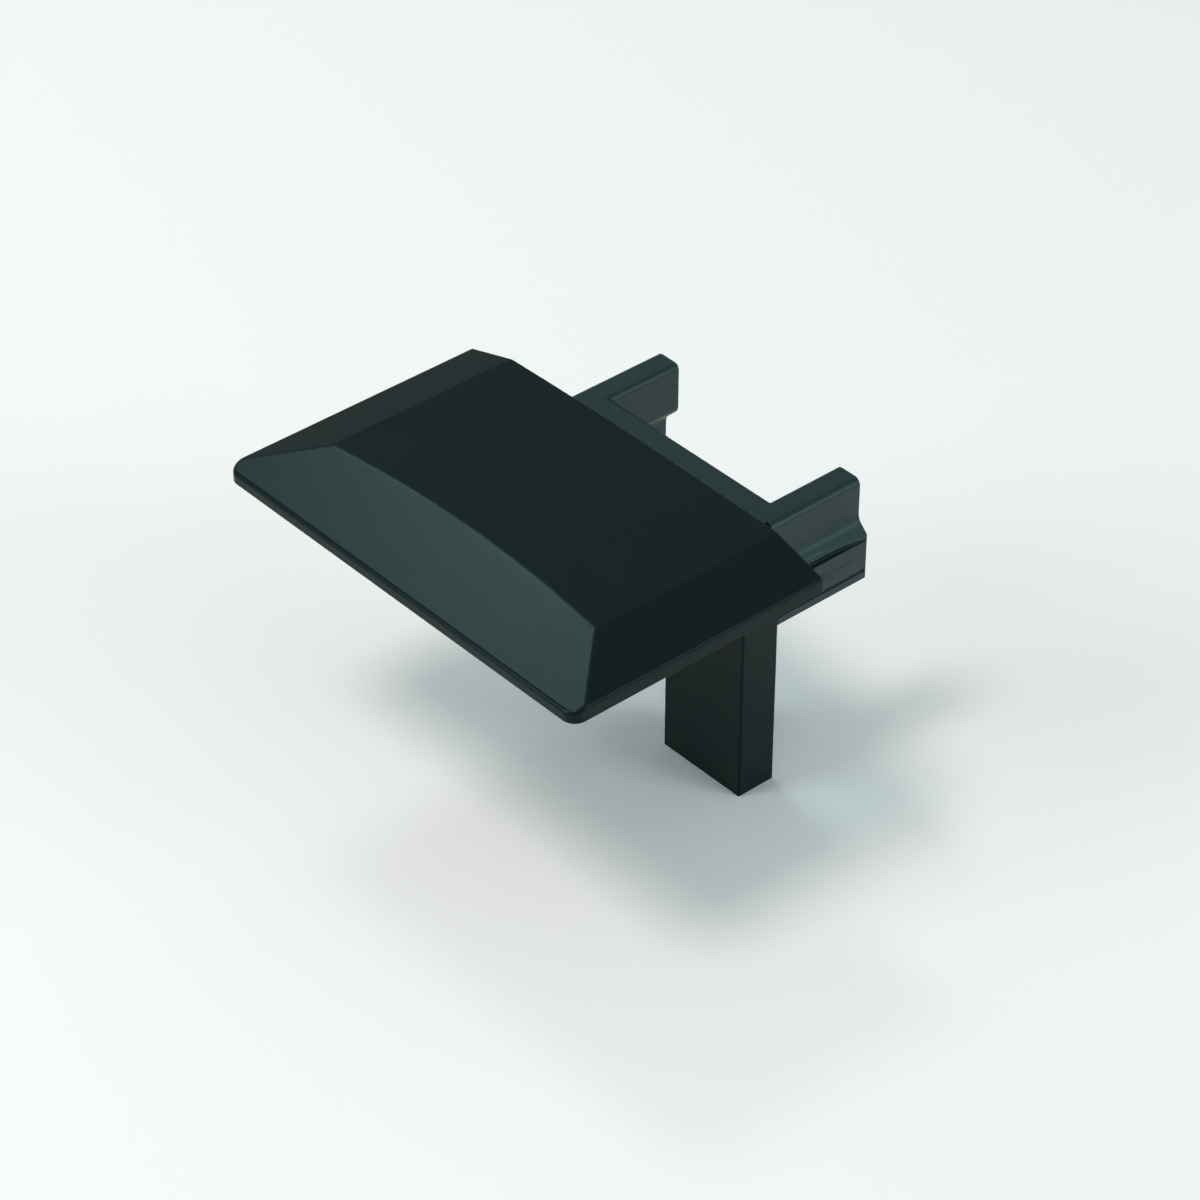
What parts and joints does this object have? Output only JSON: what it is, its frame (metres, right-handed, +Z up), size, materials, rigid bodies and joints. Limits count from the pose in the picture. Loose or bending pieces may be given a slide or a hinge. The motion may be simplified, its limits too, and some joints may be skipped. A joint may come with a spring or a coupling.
{
  "type": "profile end cap",
  "caption": "End cap for an aluminium profile: domed, bevelled cover with a slide-in insert of two bent, grooved walls and a leg hanging from one side.",
  "frame": {"origin": "where the cover's seat meets its flat underside, midway across the profile", "axes": "+X across the profile towards the side with the leg, +Y into the profile along its length, +Z up through the domed cover"},
  "size_m": [0.06, 0.0543, 0.0401],
  "materials": {
    "cap": "satin anthracite, fine moulded grain"
  },
  "bodies": {
    "root": {"end_cap": "cap"}
  },
  "joints": []
}
